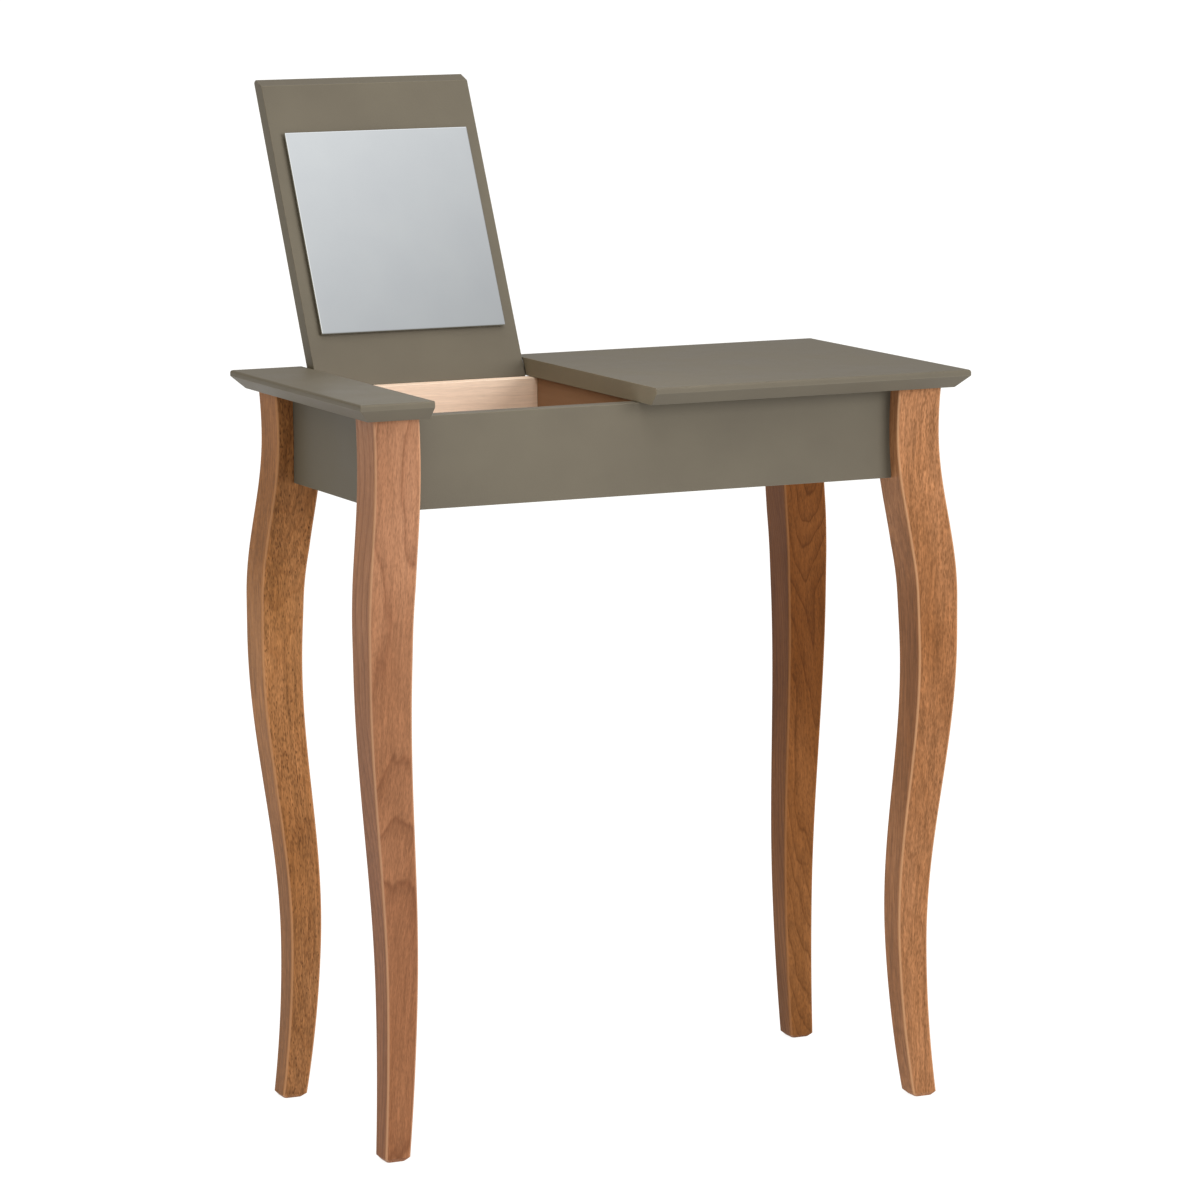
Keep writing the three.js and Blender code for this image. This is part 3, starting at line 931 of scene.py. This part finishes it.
def moulded_board(low, high, moulded):
    """A board with a lip, rounded above and bevelled away below, on the sides named in
    moulded, as (axis, which end). Its other sides are square with eased arrises."""
    bm = block(low, high)
    rub = bm.verts.layers.float.new("rub")

    def on_moulded_side(edge, height):
        a, b = (v.co for v in edge.verts)
        if abs(a.z - height) > TOUCHING or abs(b.z - height) > TOUCHING:
            return False
        ends = {-1: low, 1: high}
        return any(
            abs(a[axis] - ends[end][axis]) < TOUCHING
            and abs(b[axis] - ends[end][axis]) < TOUCHING
            for axis, end in moulded
        )

    under = [e for e in bm.edges if on_moulded_side(e, low.z)]
    round_edges(bm, under, BEVEL_WIDTH, 1)
    above = [e for e in bm.edges if on_moulded_side(e, high.z)]
    round_edges(bm, above, LIP_ROUND, 5)
    round_edges(bm, sharp_edges(bm), BOARD_ARRIS, 2, rub)
    return bm


def square_board(low, high, arris=SAWN_ARRIS):
    bm = block(low, high)
    rub = bm.verts.layers.float.new("rub")
    round_edges(bm, list(bm.edges), arris, 2, rub)
    return bm


screws = [n for n in frame["nodes"] if n.startswith("panel_screw")]


def screw_holes(nodes):
    holes = []
    for node in nodes:
        start, length = screw_axis(node)
        holes.append(turned(screw_profile(length, GAP), start, Vector((0, 0, 1)), 24))
    return holes


FRONT, BACK, LEFT, RIGHT = (1, -1), (1, 1), (0, -1), (0, 1)

finish_piece(
    "moulded_panel_left",
    moulded_board(*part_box("top_panel_left"), [FRONT, BACK, LEFT]),
    "table",
    [paint],
    ["top_panel_left"],
    [rod_over("pivot_bush_left", GAP)] + screw_holes([s for s in screws if "_left_" in s]),
)
finish_piece(
    "moulded_panel_right",
    moulded_board(*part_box("top_panel_right"), [FRONT, BACK, RIGHT]),
    "table",
    [sawn_end_paint],
    ["top_panel_right"],
    [rod_over("pivot_bush_right", GAP)] + screw_holes([s for s in screws if "_left_" not in s]),
)

lid = moulded_board(*closed_box("lid"), [FRONT, BACK])
bmesh.ops.transform(lid, matrix=opening, verts=lid.verts)
finish_piece(
    "moulded_lid",
    lid,
    "lid",
    [paint],
    ["lid"],
    [rod_over("pivot_pin_left", GAP), rod_over("pivot_pin_right", GAP)],
)

# The pane: its silvered face below, and edges ground to a small polished arris.
pane = square_board(*closed_box("mirror"), GLASS_ARRIS)
for face in pane.faces:
    face.material_index = 0 if abs(face.normal.z) > 0.99 else 1
bmesh.ops.transform(pane, matrix=opening, verts=pane.verts)
finish_piece(
    "mirror_pane", pane, "lid", [silvering, glass_edge_painted_glow], ["mirror"]
)

# ---------------------------------------------------------------- frame and compartment

dowels = [n for n in frame["nodes"] if n.startswith("dowel")]

for side in ("front", "left", "right", "back"):
    wood = pale_beech if side == "back" else paint
    node = "apron_" + side
    finish_piece(
        side + "_apron_board",
        square_board(*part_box(node)),
        "table",
        [wood],
        [node],
        [rod_over(n, GAP) for n in dowels if n.startswith(f"dowel_{side}_")],
    )

for node, slot, wood in (
    ("compartment_wall_left", "plywood", wall_ply_painted_shade),
    ("compartment_wall_right", "plywood", wall_ply_painted_shade),
    ("compartment_floor", "plywood", floor_ply),
    ("floor_batten_front", "pale_beech", pale_beech),
    ("floor_batten_back", "pale_beech", pale_beech),
    ("cleat_left", "pale_beech", cleat_beech),
    ("cleat_middle", "pale_beech", cleat_beech),
    ("cleat_right", "pale_beech", cleat_beech),
):
    end = node.replace("cleat", "") + "_"
    finish_piece(
        node + "_piece",
        square_board(*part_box(node), BOARD_ARRIS),
        "table",
        [wood],
        [node],
        screw_holes([s for s in screws if node.startswith("cleat") and end in s]),
    )

# ---------------------------------------------------------------- fixings

for node in screws:
    start, length = screw_axis(node)
    slots = []
    for long_way in (0, 1):
        reach = Vector((SCREW_SLOT_HALF_WIDTH, SCREW_SLOT_HALF_WIDTH, 0))
        reach[long_way] = SCREW_SLOT_REACH
        mouth, bottom = Vector((0, 0, -MM)), Vector((0, 0, SCREW_SLOT_DEPTH))
        slots.append(block(start - reach + mouth, start + reach + bottom))
    finish_piece(
        "cross_head_" + node,
        turned(screw_profile(length, 0), start, Vector((0, 0, 1)), 32),
        "table",
        [zinc],
        [node],
        slots,
    )

for end in ("left", "right"):
    pin_low, pin_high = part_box("pivot_pin_" + end)
    pin_radius = (pin_high.z - pin_low.z) / 2
    pin_length = pin_high.x - pin_low.x
    finish_piece(
        "steel_pivot_pin_" + end,
        turned(
            [
                (0, 0),
                (pin_radius - PIN_CHAMFER, 0),
                (pin_radius, PIN_CHAMFER),
                (pin_radius, pin_length - PIN_CHAMFER),
                (pin_radius - PIN_CHAMFER, pin_length),
                (0, pin_length),
            ],
            Vector((pin_low.x, hinge.y, hinge.z)),
            Vector((1, 0, 0)),
        ),
        "lid",
        [zinc],
        ["pivot_pin_" + end],
    )
    for part, slot, stuff in (("bush", "nylon", nylon), ("washer", "zinc_plated_steel", zinc)):
        node = f"pivot_{part}_{end}"
        low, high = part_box(node)
        outer, inner, length = (high.z - low.z) / 2, pin_radius + GAP, high.x - low.x
        finish_piece(
            f"round_{node}",
            turned(
                [
                    (inner, 0),
                    (outer - RING_CHAMFER, 0),
                    (outer, RING_CHAMFER),
                    (outer, length - RING_CHAMFER),
                    (outer - RING_CHAMFER, length),
                    (inner, length),
                    (inner, 0),
                ],
                Vector((low.x, hinge.y, hinge.z)),
                Vector((1, 0, 0)),
            ),
            "table",
            [stuff],
            [node],
        )

# Dowels and tape are shown as the CAD model has them.
for node, obj in frame["nodes"].items():
    if node.startswith("dowel") or node.startswith("mirror_tape"):
        obj.data.materials.clear()
        obj.data.materials.append(foam if "tape" in node else pale_beech)

# ---------------------------------------------------------------- studio


CEILING_SLOPE = (-1.1, 0.0, 7.05)
CEILING_STEP = 3.645
WALL_GLOW = 0.49
CEILING_GLOW = 1.18
LEFT_WALL = "#FFF0CC"

# Each lamp's place, what it points at, its width in metres and its power in watts. The
# mirror doesn't show them.
for name, place, target, width, power in (
    ("key", (2.2, -4.4, 1.9), (0, 0, 0.5), 2.6, 188),
    ("overhead", (0.1, -0.5, 3.4), (0, 0, 0.5), 2.4, 18),
    ("over_compartment", (-0.1, -0.36, 1.1), (-0.08, 0, 0.72), 0.3, 0.9),
):
    lamp = bpy.data.lights.new(name, "AREA")
    lamp.shape = "DISK"
    lamp.size = width
    lamp.energy = power
    lamp_object = bpy.data.objects.new(name, lamp)
    lamp_object.location = place
    lamp_object.rotation_mode = "QUATERNION"
    aim = Vector(target) - Vector(place)
    lamp_object.rotation_quaternion = aim.to_track_quat("-Z", "Y")
    lamp_object.visible_glossy = False
    bpy.context.scene.collection.objects.link(lamp_object)

world = bpy.data.worlds.new("studio")
bpy.context.scene.world = world
world.use_nodes = True
sky = world.node_tree
sky.nodes.clear()
# Grey walls under a bright ceiling, with a soft step between them that is seen in the
# mirror as a slow gradient.
outwards = add_node(sky, "ShaderNodeTexCoord").outputs["Generated"]
ceiling = add_node(
    sky, "ShaderNodeVectorMath", {0: outwards, 1: CEILING_SLOPE}, operation="DOT_PRODUCT"
)
glow = add_node(
    sky,
    "ShaderNodeMapRange",
    {
        "Value": ceiling.outputs["Value"],
        "From Min": CEILING_STEP + WALL_GLOW,
        "From Max": CEILING_STEP + CEILING_GLOW,
        "To Min": WALL_GLOW,
        "To Max": CEILING_GLOW,
    },
)
# The left-hand wall is cream, so what faces left is lit warmly.
across = add_node(sky, "ShaderNodeSeparateXYZ", {"Vector": outwards})
leftness = add_node(
    sky, "ShaderNodeMapRange", {"Value": across.outputs["X"], "From Min": 0, "From Max": -0.7}
)
wall_tint = add_node(
    sky,
    "ShaderNodeMix",
    {0: leftness.outputs["Result"], 6: linear("#FFFFFF"), 7: linear(LEFT_WALL)},
    data_type="RGBA",
)
lit = add_node(
    sky,
    "ShaderNodeMix",
    {0: 1.0, 6: glow.outputs["Result"], 7: wall_tint.outputs[2]},
    data_type="RGBA",
    blend_type="MULTIPLY",
)
surround = add_node(sky, "ShaderNodeBackground", {"Color": lit.outputs[2], "Strength": 1.0})
add_node(sky, "ShaderNodeOutputWorld", {"Surface": surround.outputs["Background"]})

# A pale matt studio floor, lit from below so that it stays even.
floor_bm = bmesh.new()
bmesh.ops.create_grid(floor_bm, x_segments=8, y_segments=8, size=70)
studio_floor = as_object("studio_floor", floor_bm)
floor_stuff = plain_surface(
    "matt_white_floor",
    ("#7A7A7A", "#7D7D7D"),
    (0.9, 0.95),
    400 * MM,
    0,
    {
        "Specular IOR Level": 0.0,
        "Emission Color": linear("#FFFFFF"),
        "Emission Strength": 0.92,
    },
)
studio_floor.data.materials.append(floor_stuff)

# ---------------------------------------------------------------- camera

CAMERA_PLACE = Vector((-2.05198, -4.57049, 1.27916))
CAMERA_YAW = 0.42696
CAMERA_PITCH = 0.15433
CAMERA_ROLL = -0.00776
CAMERA_LENS = 150.345

ahead = Vector(
    (
        math.sin(CAMERA_YAW) * math.cos(CAMERA_PITCH),
        math.cos(CAMERA_YAW) * math.cos(CAMERA_PITCH),
        -math.sin(CAMERA_PITCH),
    )
)
level = Vector((math.cos(CAMERA_YAW), -math.sin(CAMERA_YAW), 0))
above = level.cross(ahead)
right = math.cos(CAMERA_ROLL) * level + math.sin(CAMERA_ROLL) * above
above = right.cross(ahead)
lens = bpy.data.cameras.new("camera")
lens.lens = CAMERA_LENS
lens.sensor_width = 36
lens.clip_start = 0.1
lens.clip_end = 200
camera = bpy.data.objects.new("camera", lens)
camera.matrix_world = Matrix(
    (
        (right.x, above.x, -ahead.x, CAMERA_PLACE.x),
        (right.y, above.y, -ahead.y, CAMERA_PLACE.y),
        (right.z, above.z, -ahead.z, CAMERA_PLACE.z),
        (0, 0, 0, 1),
    )
)
bpy.context.scene.collection.objects.link(camera)
bpy.context.scene.camera = camera

bpy.context.scene.view_settings.view_transform = "Standard"
bpy.context.scene.view_settings.look = "None"
